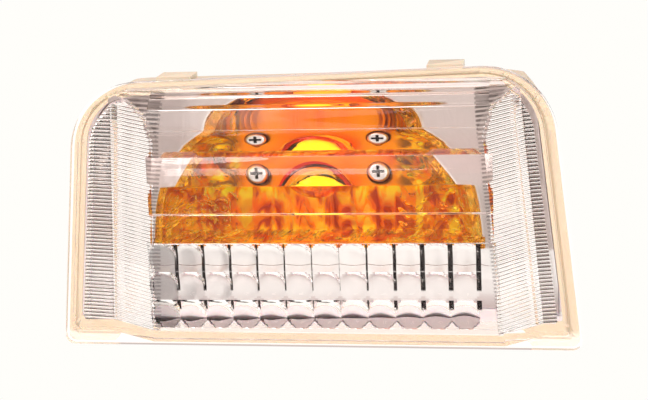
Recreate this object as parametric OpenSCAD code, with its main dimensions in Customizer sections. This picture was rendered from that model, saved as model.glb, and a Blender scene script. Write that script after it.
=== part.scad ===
// Indicator lamp for a van's door mirror
// The lens faces -Y and +Z is up. The origin is the middle of the seat, the flat rear face of the
// housing rim, which lies against the mirror shell.

/* [Outline] */
// Width along the bottom edge
lamp_w = 134.4; // [124:0.2:146]
// Height at the middle
lamp_h = 70.4; // [66:0.2:78]
// Angle by which each side leans in towards the top
side_lean = 6.2; // [3:0.1:8]
// How much the top edge climbs from left to right
top_rise = 3.1; // [0:0.1:4]
// How much the bottom edge falls from left to right
bottom_drop = 0.9; // [0:0.1:2]
// Radius of the two top corners
top_r = 18.3; // [14:0.1:22]
// Radius of the two bottom corners
bottom_r = 2.5; // [1.5:0.1:4]

/* [Lens] */
// Thickness of the clear flange
flange_t = 2.2; // [1.6:0.1:3]
// Width of the flange beside the raised part
flange_w = 3.1; // [2.4:0.1:4]
// Width of the flange above the raised part
flange_top_w = 1.3; // [1.1:0.1:2.4]
// Width of the flange below the raised part
flange_foot_w = 5.2; // [4:0.1:7]
// Wall thickness of the clear moulding
lens_wall = 2.4; // [1.8:0.1:3]
// How far the face stands ahead of the flange
face_depth = 12.5; // [11:0.1:15]
// How far the ledges beside the face stand ahead of the flange
ledge_depth = 4; // [3:0.1:6]
// Radius of the curve from the face to the top edge
brow_r = 14; // [12:0.1:15]
// Distance of the face's left edge from the middle
face_left = 38; // [34:0.1:41]
// Distance of the face's right edge from the middle
face_right = 45.6; // [41:0.1:47]
// Width of the slope beside the left edge
slope_left = 13; // [10:0.1:15]
// Width of the slope beside the right edge
slope_right = 9.4; // [7:0.1:11]
// Lean of the left slope and its ridges
lean_left = 3.2; // [0:0.1:5]
// Lean of the right slope and its ridges
lean_right = 4.8; // [0:0.1:5]

/* [Optics] */
// Height of one flute, and of one row of pillows
flute_pitch = 7.26; // [6.9:0.02:7.5]
// Flutes on the upright part of the face
flute_rows = 4; // [3:1:4]
// Flutes on the brow
brow_rows = 3; // [2:1:4]
// How much thicker each upright flute is at its top edge, from the lowest flute up
flute_depths = [6.3, 6.5, 6.3, 0.4]; // [0.2:0.1:7]
// The same on the brow
brow_depth = 0.5; // [0.2:0.1:1]
// Thickness of the flutes at their thin edge, wall and all
flute_t = 3; // [2.6:0.1:4]
// Rows of pillows
pillow_rows = 3; // [2:1:3]
// Width of one pillow
pillow_pitch = 6.98; // [6.8:0.02:7.4]
// How far the pillows start outside the face's left edge
pillow_start = 1.6; // [0:0.1:2]
// Depth of a pillow's hollow
pillow_h = 1.4; // [1:0.1:1.6]
// Radius of a pillow's hollow
pillow_r = 8; // [7:0.1:12]
// Spacing of the ridges on the wings
ridge_pitch = 1.05; // [0.9:0.05:1.5]
// Height of a ridge
ridge_h = 0.45; // [0.3:0.05:0.6]

/* [Housing] */
// Thickness of the rim behind the flange
rim_t = 2.5; // [2:0.1:3.5]
// How far the rim's edge lies inside the flange's edge
rim_inset = 0.6; // [0.3:0.1:1]
// Width of the rim at the sides
rim_w = 3.6; // [3.4:0.1:5]
// Width of the rim at the top
rim_top_w = 2; // [1.9:0.1:2.4]
// Width of the seat behind the rim at the top
seat_top_w = 0.8; // [0.6:0.1:1]
// Wall thickness of the housing
shell_t = 2; // [1.6:0.1:2.4]
// Depth of the housing behind the seat
shell_d = 25; // [23:0.1:28]
// Height of the notch between the two feet
notch_h = 4.4; // [3:0.1:5]
// Length of each foot along the bottom edge
foot_l = 13; // [10:0.1:18]
// Width of each tab on the top edge
tab_w = 8.8; // [7:0.1:12]
// How far each tab stands above the rim
tab_h = 1.2; // [1:0.1:3]
// Distance of each tab from the middle
tab_x = 34.1; // [28:0.1:38]
// Length of each tab from front to back
tab_l = 8; // [6:0.1:12]
// Distance of each snap hook from the middle
hook_x = 30; // [20:0.5:40]
// Width of a snap hook
hook_w = 8; // [6:0.1:12]
// Outer diameter of a screw boss
boss_d = 7; // [6:0.1:7.5]

/* [Reflector] */
// Wall thickness of the reflector
mirror_t = 1.4; // [1.2:0.1:2]
// How far the reflector's front plate lies behind the seat
mirror_y = 2.2; // [1.5:0.1:3]
// Clearance around the amber cap and inside the housing
mirror_gap = 0.4; // [0.2:0.05:0.6]

/* [Amber cap] */
// Radius of the arch at its lip
arch_r = 42; // [41:0.1:43]
// Clearance between the top of the arch and the edge of the housing's opening
arch_gap = 0.4; // [0.3:0.1:0.8]
// Depth of the amber dish
dish_d = 12; // [11:0.1:13]
// Width of the dish's curved edge
dish_edge = 7.4; // [6.5:0.1:7.6]
// Wall thickness of the amber cap
amber_t = 1.8; // [1.4:0.1:2.2]
// Height of the bulb's axis above the middle of the lamp
bulb_z = 9; // [8.6:0.1:9.4]
// Outer diameter of the tube over the bulb
tube_d = 20.4; // [19.6:0.1:21]
// Distance of each screw from the bulb's axis
screw_x = 15.8; // [15.4:0.1:15.9]
// Height of the screws above the bulb's axis
screw_rise = 8.2; // [7:0.1:8.2]
// Diameter of a screw's head
screw_head_d = 5.5; // [5:0.1:6]
// Thickness of a screw's head
screw_head_t = 1.8; // [1.5:0.1:2.2]
// Diameter of a screw's shank
screw_d = 2.9; // [2.6:0.1:3.2]
// Length of a screw's shank
screw_l = 9; // [8:0.1:10]
// Clearance around a screw's shank
screw_gap = 0.1; // [0.05:0.05:0.3]

/* [Bulb and holder] */
// Diameter of the bulb's glass
bulb_d = 15; // [14:0.1:15.4]
// Distance of the bulb's tip behind the seat
bulb_y = 4; // [3.6:0.1:5]
// Length of the glass from its tip to the end of its flat base
bulb_l = 33; // [31:0.1:35]
// Length of the flat base
wedge_l = 11; // [9:0.1:12]
// Width of the flat base
wedge_w = 9.4; // [8:0.1:10]
// Thickness of the flat base
wedge_t = 2.4; // [2:0.1:2.6]
// Thickness of the glass
glass_t = 0.8; // [0.6:0.1:1]
// Diameter of a lead wire
lead_d = 0.6; // [0.4:0.1:0.8]
// Diameter of the filament's coil
filament_d = 1; // [0.8:0.1:1.2]
// Diameter of the holder's barrel
holder_d = 21; // [20.4:0.1:21.4]
// Diameter of the holder's flange
holder_flange_d = 25.4; // [25:0.1:27]
// Thickness of the holder's flange
holder_flange_t = 2.5; // [2:0.1:3]
// Clearance of the holder's barrel in the housing's collar
holder_gap = 0.5; // [0.3:0.1:0.7]
// Diameter of the rubber ring's section
seal_d = 2; // [1.6:0.1:2.2]
// Width of the connector shroud
shroud_w = 19; // [17:0.1:20]
// Height of the connector shroud
shroud_h = 12; // [10:0.1:13]
// Length of the connector shroud behind the holder's flange
shroud_l = 15; // [13:0.1:18]
// Distance between the terminals
terminal_pitch = 6; // [5:0.1:7]
// Width of a terminal
terminal_w = 2.8; // [2.2:0.1:3]
// Thickness of a terminal
terminal_t = 0.8; // [0.6:0.1:1]

/* [Vent] */
// Distance of the vent from the middle of the lamp
vent_x = 34; // [28:0.1:38]
// Diameter of the vent's pipe
vent_d = 5; // [4:0.1:6]
// Length of the vent's pipe
vent_l = 4; // [3:0.1:6]
// Diameter of the breather cap
vent_cap_d = 9; // [8:0.1:11]

/* [Hidden] */
$fn = 64;
far = 100;
overlap = 0.4;

// The outline's corners run from the bottom left, up and round to the bottom right.
seat_front = -rim_t;
flange_front = seat_front - flange_t;
lean_in = lamp_h * tan(side_lean);
corners = [
  [-lamp_w / 2, (bottom_drop - lamp_h) / 2],
  [-lamp_w / 2 + lean_in, (lamp_h - top_rise) / 2],
  [lamp_w / 2 - lean_in, (lamp_h + top_rise) / 2],
  [lamp_w / 2, -(bottom_drop + lamp_h) / 2]
];

function unit(v) = v / norm(v);
function inward(a, b) = let (u = unit(b - a)) [u.y, -u.x];
function meet(p, u, q, v) = p + u * ((q.x - p.x) * v.y - (q.y - p.y) * v.x) / (u.x * v.y - u.y * v.x);
function arc(centre, r, a0, a1, steps) =
  [for (k = [0:steps]) let (a = a0 + (a1 - a0) * k / steps) centre + r * [cos(a), sin(a)]];

// Four sides moved inwards by the widths at the left, the top, the right and the bottom
function inset(c, d) = [
  for (i = [0:3])
    let (a = c[(i + 3) % 4], b = c[i], e = c[(i + 1) % 4])
    meet(b + inward(a, b) * d[(i + 3) % 4], unit(b - a), b + inward(b, e) * d[i], unit(e - b))
];

// The round corner between two sides
function corner(c, i, r) =
  let (
    u = unit(c[i] - c[(i + 3) % 4]),
    v = unit(c[(i + 1) % 4] - c[i]),
    turn = acos(u * v)
  )
  arc(c[i] + unit(v - u) * r / cos(turn / 2), r, atan2(u.x, -u.y), atan2(u.x, -u.y) - turn, max(3, round(r)));

// The lamp's outline, drawn in by a width at the sides, the top and the bottom
module outline(side = 0, top = 0, foot = 0) {
  c = inset(corners, [side, top, side, foot]);
  r = [for (r = [bottom_r, top_r, top_r, bottom_r]) max(r - side, 0.8)];
  polygon([for (i = [0:3]) each corner(c, i, r[i])]);
}

// A plate in the lamp's own plane, from one depth to another
module plate(y0, y1) translate([0, y1, 0]) rotate([90, 0, 0]) linear_extrude(y1 - y0) children();
// A side profile of depth and height, run from one side to the other
module run_x(x0, x1) translate([x0, 0, 0]) rotate([90, 0, 90]) linear_extrude(x1 - x0) children();
// A plan of width and depth, run up from one height to another
module run_z(z0 = -far, z1 = far) translate([0, 0, z0]) linear_extrude(z1 - z0) children();
// A round rod from one depth to another
module rod(d, y0, y1, x = 0, z = 0) translate([x, y0, z]) rotate([-90, 0, 0]) cylinder(d = d, h = y1 - y0);
// A profile of radius and depth turned about the bulb's axis
module turned() translate([0, 0, bulb_z]) rotate([-90, 0, 0]) rotate_extrude() children();
module mirrored() { children(); mirror([1, 0, 0]) children(); }

// Depths and heights of the raised part of the lens
face_front = flange_front - face_depth;
ledge_front = flange_front - ledge_depth;
brow_top = lamp_h / 2 - flange_top_w;
brow_z = brow_top - brow_r;
floor_z = -lamp_h / 2 + flange_foot_w;
optic_foot = floor_z + lens_wall + 1;

// The raised part of the lens, drawn in by a thickness
module raised(t, back) {
  difference() {
    intersection() {
      run_x(-far, far) side_profile(t);
      plate(face_front - 1, back) outline(flange_w + t, flange_top_w + t, flange_foot_w + t);
    }
    rotate([0, -lean_right, 0]) run_z() beside(face_right, slope_right, t);
    mirror([1, 0, 0]) rotate([0, -lean_left, 0]) run_z() beside(face_left, slope_left, t);
  }
}

// The side view: an upright face that curves back to the top edge
module side_profile(t) {
  polygon(concat(
    [[far, -far], [face_front + t, -far]],
    arc([face_front + brow_r, brow_z], brow_r - t, 180, 90, 14),
    [[far, brow_top - t]]
  ));
}

// The plan of the space ahead of one ledge and outside its slope
ledge_rise = ledge_front - face_front;
function slope_x(edge, slope, t, y) = edge + (slope * (y - face_front) - t * norm([slope, ledge_rise])) / ledge_rise;
module beside(edge, slope, t) {
  polygon([
    for (y = [ledge_front + t, face_front - 2]) [slope_x(edge, slope, t, y), y],
    [far, face_front - 2],
    [far, ledge_front + t]
  ]);
}

// One wing's ridges: a toothed plate along the ledge and another along the slope
module ridges(edge, slope) {
  count = floor(lamp_h / ridge_pitch);
  comb = concat(
    [[-overlap, 0]],
    [for (i = [0:count - 1]) each [[0, i * ridge_pitch], [ridge_h, (i + 0.5) * ridge_pitch]]],
    [[0, count * ridge_pitch], [-overlap, count * ridge_pitch]]
  );
  foot_y = ledge_front + lens_wall;
  foot_x = slope_x(edge, slope, lens_wall, foot_y);
  translate([foot_x, foot_y, -lamp_h / 2]) rotate([90, 0, 90]) linear_extrude(lamp_w / 2 - foot_x) polygon(comb);
  translate([foot_x, foot_y, -lamp_h / 2]) rotate([0, 0, 180 + atan2(ledge_rise, slope)])
    mirror([0, 1, 0]) rotate([90, 0, 90]) linear_extrude(norm([slope, ledge_rise]) + 1) polygon(comb);
}

// A point on the face at a height, drawn in by a thickness
function skin(z, t) =
  let (a = asin(max(0, z - brow_z) / brow_r))
  [face_front + brow_r * (1 - cos(a)) + t * cos(a), z - t * sin(a)];
flutes_z = optic_foot + flute_pitch * pillow_rows;
upright_top = flutes_z + flute_pitch * flute_rows;
brow_a = asin((upright_top - brow_z) / brow_r);
function flute_edge(i) = i <= flute_rows
  ? flutes_z + flute_pitch * i
  : brow_z + brow_r * sin(brow_a + (84 - brow_a) * (i - flute_rows) / brow_rows);

// The flutes: each is a prism, thick at its top edge and thin at the bottom
flute_steps = 6;
module flutes() {
  rows = flute_rows + brow_rows;
  run_x(-face_left - slope_left, face_right + slope_right)
    polygon(concat(
      [for (i = [0:rows - 1], k = [0:i < flute_rows - 1 ? flute_steps : 1:flute_steps])
        let (s = k / flute_steps, z = flute_edge(i) + (flute_edge(i + 1) - flute_edge(i)) * s)
        skin(z, flute_t + (i < flute_rows ? flute_depths[i] : brow_depth) * s)],
      [for (i = [rows:-1:0]) skin(flute_edge(i), lens_wall - overlap)]
    ));
}

// The pillows: square hollows side by side in the back of a plate
pillow_columns = floor((face_left + pillow_start + face_right) / pillow_pitch);
pillow_back = face_front + flute_t + pillow_h;
module pillows() {
  x0 = -face_left - pillow_start;
  difference() {
    translate([-face_left - slope_left, face_front + lens_wall - overlap, optic_foot])
      cube([face_left + face_right + slope_left + slope_right, pillow_back - face_front - lens_wall + overlap, pillow_rows * flute_pitch]);
    for (i = [0:pillow_columns - 1], k = [0:pillow_rows - 1])
      translate([x0 + pillow_pitch * (i + 0.5), face_front + flute_t + pillow_r, optic_foot + flute_pitch * (k + 0.5)])
        sphere(r = pillow_r);
  }
}

module lens() {
  color([0.93, 0.9, 0.88, 0.5]) {
    difference() {
      union() {
        plate(flange_front, seat_front) outline();
        raised(0, seat_front);
      }
      raised(lens_wall, seat_front + 1);
    }
    intersection() {
      raised(lens_wall - overlap, seat_front);
      union() {
        flutes();
        pillows();
        rotate([0, -lean_right, 0]) ridges(face_right, slope_right);
        mirror([1, 0, 0]) rotate([0, -lean_left, 0]) ridges(face_left, slope_left);
      }
    }
  }
}

// The housing's opening, and the inside of its tub behind the opening
open_side = rim_inset + rim_w;
open_top = rim_inset + rim_top_w;
open_foot = rim_inset + notch_h + shell_t + 0.4;
tub_back = shell_d - shell_t;
module tub(t, y0) {
  intersection() {
    plate(y0, shell_d - t) outline(
      open_side - shell_t + t,
      rim_inset + seat_top_w + t * (rim_top_w - seat_top_w) / shell_t,
      open_foot - shell_t + t
    );
    run_z() polygon([
      for (p = [[0.5, -5], [0.485, 0], [0.4, 14], [0.36, shell_d]]) [lamp_w * p.x - t, p.y],
      for (p = [[0.36, shell_d], [0.4, 14], [0.485, 0], [0.5, -5]]) [t - lamp_w * p.x, p.y]
    ]);
    run_x(-far, far) polygon([
      [-5, lamp_h * 0.52 - t], [shell_d, lamp_h * 0.42 - t],
      [shell_d, t - lamp_h * 0.2], [10, t - lamp_h * 0.4], [-5, t - lamp_h * 0.5]
    ]);
  }
}

// The middle of the bottom edge is cut away between two feet
module notch() {
  x = lamp_w / 2 - foot_l;
  plate(seat_front - 1, 0) polygon([
    [-x, -lamp_h], [-x, -lamp_h / 2 + rim_inset], [3.4 - x, -lamp_h / 2 + rim_inset + notch_h],
    [x - 5, -lamp_h / 2 + rim_inset + notch_h], [x, -lamp_h / 2 + rim_inset], [x, -lamp_h]
  ]);
}

// A flat tab on the top edge
module tab(x) {
  rim_top = (lamp_h + top_rise * x / (lamp_w / 2 - lean_in)) / 2 - rim_inset;
  translate([x - tab_w / 2, seat_front + 0.5, rim_top - rim_top_w]) cube([tab_w, tab_l, rim_top_w + tab_h]);
}

// A wedge below the tub that snaps behind the edge of the mirror shell
module snap_hook(x) {
  z = open_foot - shell_t - lamp_h / 2;
  translate([x, 0, 0]) run_x(-hook_w / 2, hook_w / 2) polygon([[2.5, z + 1.6], [2.5, z - 1.4], [7.5, z + 1.6]]);
}

// Depths behind the seat: the screw seats, the reflector's bowl inside and outside, and the collar's ends
seat_y = dish_d - amber_t - 0.6;
bowl_d = dish_d + mirror_gap;
boss_y = bowl_d + mirror_t;
collar_y = shell_d - 7;
collar_end = shell_d + 2;
collar_bore = holder_d + 2 * holder_gap;
screw_z = bulb_z + screw_rise;
rib_top = bulb_z - collar_bore / 2 + 0.4;
lug_w = 5;
lug_reach = 1.7;

module housing() {
  color([0.96, 0.9, 0.78]) {
    difference() {
      union() {
        difference() {
          plate(seat_front, 0) outline(rim_inset, rim_inset, rim_inset);
          notch();
        }
        tub(0, seat_front);
        tab(-tab_x);
        tab(tab_x);
        mirrored() snap_hook(hook_x);
      }
      tub(shell_t, seat_front - 1);
      rod(collar_bore + 2, tub_back - 1, shell_d + 1, 0, bulb_z);
      rod(vent_d - 2, tub_back - 1, shell_d + 1, -vent_x);
    }
    difference() {
      union() {
        rod(collar_bore + 2 * shell_t, collar_y, collar_end, 0, bulb_z);
        mirrored() rod(boss_d, boss_y, tub_back + 0.5, screw_x, screw_z);
        for (x = [-1, 1] * collar_bore / 4)
          translate([x - shell_t / 2, collar_y + 1, 0.5 - lamp_h * 0.2])
            cube([shell_t, shell_d - collar_y - 2, rib_top - 0.5 + lamp_h * 0.2]);
      }
      rod(collar_bore, collar_y - 1, collar_end + 1, 0, bulb_z);
      mirrored() rod(screw_d + 2 * screw_gap, boss_y - 1, tub_back - 1, screw_x, screw_z);
      translate([-collar_bore / 2 - lug_reach, collar_y - 1, bulb_z - lug_w / 2 - 0.5])
        cube([collar_bore + 2 * lug_reach, collar_end - collar_y + 2, lug_w + 1]);
    }
    difference() {
      rod(vent_d, tub_back + 0.5, shell_d + vent_l, -vent_x);
      rod(vent_d - 2, tub_back, shell_d + vent_l + 1, -vent_x);
    }
  }
}

// The dish's curved side as points of radius and depth, for its width and depth
arch_z = lamp_h / 2 - open_top - arch_gap - arch_r;
floor_lip = 0.6;
function dish_arc(w, d, a0 = 0, a1 = 90) = [for (p = arc([0, 0], 1, a0, a1, 12)) [arch_r - dish_edge + w * p.x, d * p.y]];
// A profile of radius and depth turned half round above the arch's centre
module half_turned() translate([0, 0, arch_z]) rotate([90, 0, 0]) mirror([0, 0, 1]) rotate_extrude(angle = 180)
  children();
// A floor with the dish's plan, centred on the height of the arch's centre
module dish_floor(w, d, t) run_z(arch_z - t / 2, arch_z + t / 2) polygon(concat(
  dish_arc(w, d),
  [for (p = dish_arc(w, d, 90, 0)) [-p.x, p.y]]
));

tube_front = 1;
tube_rise = 3;
module amber_cap() {
  color([0.95, 0.5, 0.05, 0.8]) {
    difference() {
      union() {
        half_turned() polygon(concat(
          dish_arc(dish_edge, dish_d),
          [[0, dish_d], [0, dish_d - amber_t]],
          dish_arc(dish_edge - amber_t, dish_d - amber_t, 90, 0)
        ));
        dish_floor(dish_edge + floor_lip, dish_d, amber_t);
        mirrored() rod(screw_head_d + 1, seat_y, bowl_d, screw_x, screw_z);
        rod(tube_d, tube_front + tube_rise, dish_d, 0, bulb_z);
      }
      rod(tube_d - 2 * amber_t, tube_front + tube_rise - 1, dish_d + 1, 0, bulb_z);
      mirrored() rod(screw_d + 4 * screw_gap, 0, bowl_d + 1, screw_x, screw_z);
    }
    turned() dome();
  }
}

// The tube's round end, as a profile of radius and depth
module dome() {
  r = tube_d / 2;
  cap_r = (r * r + tube_rise * tube_rise) / (2 * tube_rise);
  centre = [0, tube_front + cap_r];
  a = acos(r / cap_r);
  a_in = acos((r - amber_t) / (cap_r - amber_t));
  polygon(concat(
    arc(centre, cap_r, -90, -a, 8),
    [[r, tube_front + tube_rise + 1], [r - amber_t, tube_front + tube_rise + 1]],
    arc(centre, cap_r - amber_t, -a_in, -90, 8)
  ));
}

module cap_screw() {
  recess = screw_head_d * 0.6;
  color([0.8, 0.8, 0.82]) difference() {
    union() {
      rod(screw_head_d, seat_y - screw_head_t, seat_y, screw_x, screw_z);
      rod(screw_d, seat_y - 0.2, seat_y + screw_l, screw_x, screw_z);
    }
    for (size = [[recess, 0.9], [0.9, recess]])
      translate([screw_x - size.x / 2, seat_y - screw_head_t - 1, screw_z - size.y / 2]) cube([size.x, 2, size.y]);
  }
}

// The bright plate around the amber cap, with a bowl behind the cap
module reflector() {
  color([0.75, 0.75, 0.77]) difference() {
    union() {
      intersection() {
        tub(shell_t + mirror_gap, mirror_y);
        plate(mirror_y - 1, mirror_y + mirror_t) square(far * 2, center = true);
      }
      intersection() {
        bowl(mirror_gap + mirror_t, boss_y);
        tub(shell_t + mirror_gap, mirror_y + mirror_t / 2);
      }
    }
    bowl(mirror_gap, bowl_d);
    rod(tube_d - 2 * amber_t + 0.8, bowl_d - 1, boss_y + 1, 0, bulb_z);
    mirrored() rod(screw_d + 4 * screw_gap, bowl_d - 1, boss_y + 1, screw_x, screw_z);
  }
}
// A solid with the amber cap's shape, a clearance larger all round
module bowl(gap, d) {
  half_turned() polygon(concat([[arch_r + gap, -1]], dish_arc(dish_edge + gap, d), [[0, d], [0, -1]]));
  dish_floor(dish_edge + floor_lip + gap, d, amber_t + 2 * gap);
}

// Depths along the bulb's axis: the shoulder of the glass, the flat base's end and the terminals' front
shoulder_y = bulb_y + bulb_l - wedge_l - 3;
wedge_end = bulb_y + bulb_l;
terminal_y = wedge_end + 1;
filament_y = bulb_y + bulb_d * 0.6;
holder_front = collar_y - 2.2;
flange_y = collar_end + seal_d;
shroud_y = flange_y + holder_flange_t;
shroud_end = shroud_y + shroud_l;
fit_gap = 0.3;

module bulb_envelope() {
  r = bulb_d / 2;
  in_r = r - glass_t;
  color([0.95, 0.85, 0.3, 0.5]) difference() {
    union() {
      turned() polygon(concat(
        arc([0, bulb_y + r], r, -90, 0, 12),
        [[r, shoulder_y], [r - 3, shoulder_y + 3], [0, shoulder_y + 3], [0, shoulder_y + 1.6],
        [in_r - 1.6, shoulder_y + 1.6], [in_r, shoulder_y]],
        arc([0, bulb_y + r], in_r, 0, -90, 12)
      ));
      translate([-wedge_w / 2, shoulder_y + 2.2, bulb_z - wedge_t / 2])
        cube([wedge_w, wedge_end - shoulder_y - 2.2, wedge_t]);
    }
    mirrored() rod(lead_d, shoulder_y + 1, wedge_end + 1, terminal_pitch / 2, bulb_z);
  }
}

module bulb_filament() {
  l = terminal_pitch - lead_d;
  color([0.5, 0.5, 0.5]) translate([-l / 2, filament_y, bulb_z]) rotate([0, 90, 0]) cylinder(d = filament_d, h = l);
}

module bulb_lead() {
  color([0.8, 0.8, 0.8]) rod(lead_d, filament_y - filament_d / 2, terminal_y, terminal_pitch / 2, bulb_z);
}

module holder_body() {
  slot_end = wedge_end + fit_gap;
  web_end = terminal_y + 2;
  color([0.12, 0.12, 0.13]) difference() {
    union() {
      rod(holder_d, holder_front, flange_y + 0.5, 0, bulb_z);
      rod(holder_flange_d, flange_y, shroud_y, 0, bulb_z);
      for (side = [0, 180]) translate([0, 0, bulb_z]) rotate([0, side, 0])
        translate([-lug_w / 2, holder_front, 0]) cube([lug_w, collar_y - holder_front, holder_d / 2 + lug_reach]);
      translate([-shroud_w / 2, shroud_y - 0.5, bulb_z - shroud_h / 2]) cube([shroud_w, shroud_l + 0.5, shroud_h]);
      translate([0, 0, bulb_z + shroud_h / 2]) run_x(-2.5, 2.5)
        polygon([[shroud_end - 8, -0.5], [shroud_end - 6, 1.4], [shroud_end - 2, -0.5]]);
    }
    rod(bulb_d + 2 * fit_gap, holder_front - 1, shoulder_y + 3 + fit_gap, 0, bulb_z);
    translate([-wedge_w / 2 - fit_gap, shoulder_y, bulb_z - wedge_t / 2 - fit_gap])
      cube([wedge_w + 2 * fit_gap, slot_end - shoulder_y, wedge_t + 2 * fit_gap]);
    mirrored() translate([terminal_pitch / 2 - terminal_t / 2, slot_end - 1, bulb_z - terminal_w / 2])
      cube([terminal_t, web_end - slot_end + 2, terminal_w]);
    translate([1.6 - shroud_w / 2, web_end, bulb_z + 1.6 - shroud_h / 2])
      cube([shroud_w - 3.2, shroud_end - web_end + 1, shroud_h - 3.2]);
  }
}

module holder_seal() {
  color([0.2, 0.2, 0.2]) turned() translate([(holder_d + seal_d) / 2, collar_end + seal_d / 2]) circle(d = seal_d, $fn = 32);
}

module terminal() {
  color([0.75, 0.6, 0.3]) translate([(terminal_pitch - terminal_t) / 2, terminal_y, bulb_z - terminal_w / 2])
    cube([terminal_t, shroud_end - 2 - terminal_y, terminal_w]);
}

module vent_cap() {
  y = shell_d + vent_l;
  color([0.12, 0.12, 0.13]) difference() {
    rod(vent_cap_d, shell_d + 1.2, y + 1.6, -vent_x);
    rod(vent_d, shell_d, y, -vent_x);
    rod(vent_cap_d - 2, shell_d, y - 1, -vent_x);
  }
}

lens();
housing();
reflector();
amber_cap();
mirror([1, 0, 0]) cap_screw();  // cap_screw_left
cap_screw();  // cap_screw_right
bulb_envelope();
bulb_filament();
mirror([1, 0, 0]) bulb_lead();  // bulb_lead_left
bulb_lead();  // bulb_lead_right
holder_body();
holder_seal();
mirror([1, 0, 0]) terminal();  // terminal_left
terminal();  // terminal_right
vent_cap();
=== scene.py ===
# Indicator lamp of a van's door mirror: the looks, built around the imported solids, in metres
import math

import bmesh
import bpy
from mathutils import Matrix, Vector


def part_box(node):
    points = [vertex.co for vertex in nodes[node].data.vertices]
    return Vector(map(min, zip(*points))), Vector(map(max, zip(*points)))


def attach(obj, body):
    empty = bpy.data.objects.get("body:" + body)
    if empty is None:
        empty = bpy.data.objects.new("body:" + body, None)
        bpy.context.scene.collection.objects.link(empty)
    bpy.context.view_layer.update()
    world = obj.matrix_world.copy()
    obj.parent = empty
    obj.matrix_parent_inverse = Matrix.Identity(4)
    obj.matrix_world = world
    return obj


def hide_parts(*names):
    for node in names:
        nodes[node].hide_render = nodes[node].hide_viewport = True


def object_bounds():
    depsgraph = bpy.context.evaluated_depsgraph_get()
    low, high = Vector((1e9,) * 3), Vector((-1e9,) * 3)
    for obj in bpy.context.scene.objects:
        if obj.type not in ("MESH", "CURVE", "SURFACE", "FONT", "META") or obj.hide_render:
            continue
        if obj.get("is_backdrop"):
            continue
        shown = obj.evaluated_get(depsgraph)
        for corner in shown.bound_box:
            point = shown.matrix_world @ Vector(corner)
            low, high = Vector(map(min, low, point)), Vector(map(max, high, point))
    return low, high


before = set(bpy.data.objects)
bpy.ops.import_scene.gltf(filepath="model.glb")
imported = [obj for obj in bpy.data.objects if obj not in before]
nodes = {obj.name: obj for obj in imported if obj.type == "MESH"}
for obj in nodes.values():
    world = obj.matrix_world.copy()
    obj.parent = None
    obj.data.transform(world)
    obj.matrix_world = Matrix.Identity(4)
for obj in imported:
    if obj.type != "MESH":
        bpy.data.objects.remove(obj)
sizes = {"frame": [list(corner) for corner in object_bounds()]}
mm = 0.001
print("frame loaded:", len(nodes), "nodes")


# sRGB hex to the linear colour that a shader takes
def linear(code):
    parts = [int(code[i : i + 2], 16) / 255 for i in (1, 3, 5)]
    return [c / 12.92 if c <= 0.04045 else ((c + 0.055) / 1.055) ** 2.4 for c in parts] + [1.0]


# Adds a node with its settings. An input takes a value, a colour in hex, a socket, or a node, whose first
# output that is in use is then linked
def addNode(tree, kind, inputs=None, **settings):
    node = tree.nodes.new(kind)
    for name, value in settings.items():
        setattr(node, name, value)
    for name, value in (inputs or {}).items():
        if isinstance(value, bpy.types.Node):
            value = next(output for output in value.outputs if output.enabled)
        if isinstance(value, bpy.types.NodeSocket):
            tree.links.new(value, node.inputs[name])
        else:
            node.inputs[name].default_value = linear(value) if isinstance(value, str) else value
    return node


# A material whose surface is built by a function
def newMaterial(name, surface):
    material = bpy.data.materials.new(name)
    material.use_nodes = True
    tree = material.node_tree
    tree.nodes.clear()
    addNode(tree, "ShaderNodeOutputMaterial", {"Surface": surface(tree)})
    return material


def dress(obj, material):
    obj.data.materials.clear()
    obj.data.materials.append(material)


# The piece's own coordinates in millimetres
def millimetres(tree):
    place = addNode(tree, "ShaderNodeTexCoord").outputs["Object"]
    return addNode(tree, "ShaderNodeVectorMath", {0: place, "Scale": 1 / mm}, operation="SCALE")


# Soft blotches of a size in millimetres, stretched along each axis
def blotches(tree, size, detail=2.0, stretch=(1, 1, 1), distortion=0.0):
    scale = [1 / (size * s) for s in stretch]
    place = addNode(tree, "ShaderNodeMapping", {"Vector": millimetres(tree), "Scale": scale})
    return addNode(tree, "ShaderNodeTexNoise",
                   {"Vector": place, "Scale": 1.0, "Detail": detail, "Distortion": distortion})


def product(tree, *factors):
    total = factors[0]
    for factor in factors[1:]:
        total = addNode(tree, "ShaderNodeMath", {0: total, 1: factor}, operation="MULTIPLY")
    return total


# Each limit is a value, where it counts for nothing and where it counts in full, with a smooth step between.
# The mask is 1 where all of them count in full.
def mask(tree, *limits):
    return product(tree, *(addNode(tree, "ShaderNodeMapRange",
                                   {"Value": value, "From Min": nothing, "From Max": full},
                                   interpolation_type="SMOOTHSTEP") for value, nothing, full in limits))


# A colour with others painted over it, each where its mask is 1
def painted(tree, colour, *layers):
    for where, over in layers:
        colour = addNode(tree, "ShaderNodeMix", {0: where, 6: colour, 7: over}, data_type="RGBA")
    return colour


# The distance in millimetres from a line along Y, or from its mirror image on the left
def fromAxis(tree, place, x, z):
    axes = addNode(tree, "ShaderNodeSeparateXYZ", {"Vector": place}).outputs
    out = addNode(tree, "ShaderNodeMath", {0: axes["X"]}, operation="ABSOLUTE")
    flat = addNode(tree, "ShaderNodeCombineXYZ", {"X": out, "Z": axes["Z"]})
    return addNode(tree, "ShaderNodeVectorMath", {0: flat, 1: (x, 0, z)}, operation="DISTANCE")


# The mesh of an object as its modifiers leave it, and no modifiers any more
def settled(obj):
    mesh = bpy.data.meshes.new_from_object(obj.evaluated_get(bpy.context.evaluated_depsgraph_get()))
    obj.modifiers.clear()
    obj.data = mesh


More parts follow.
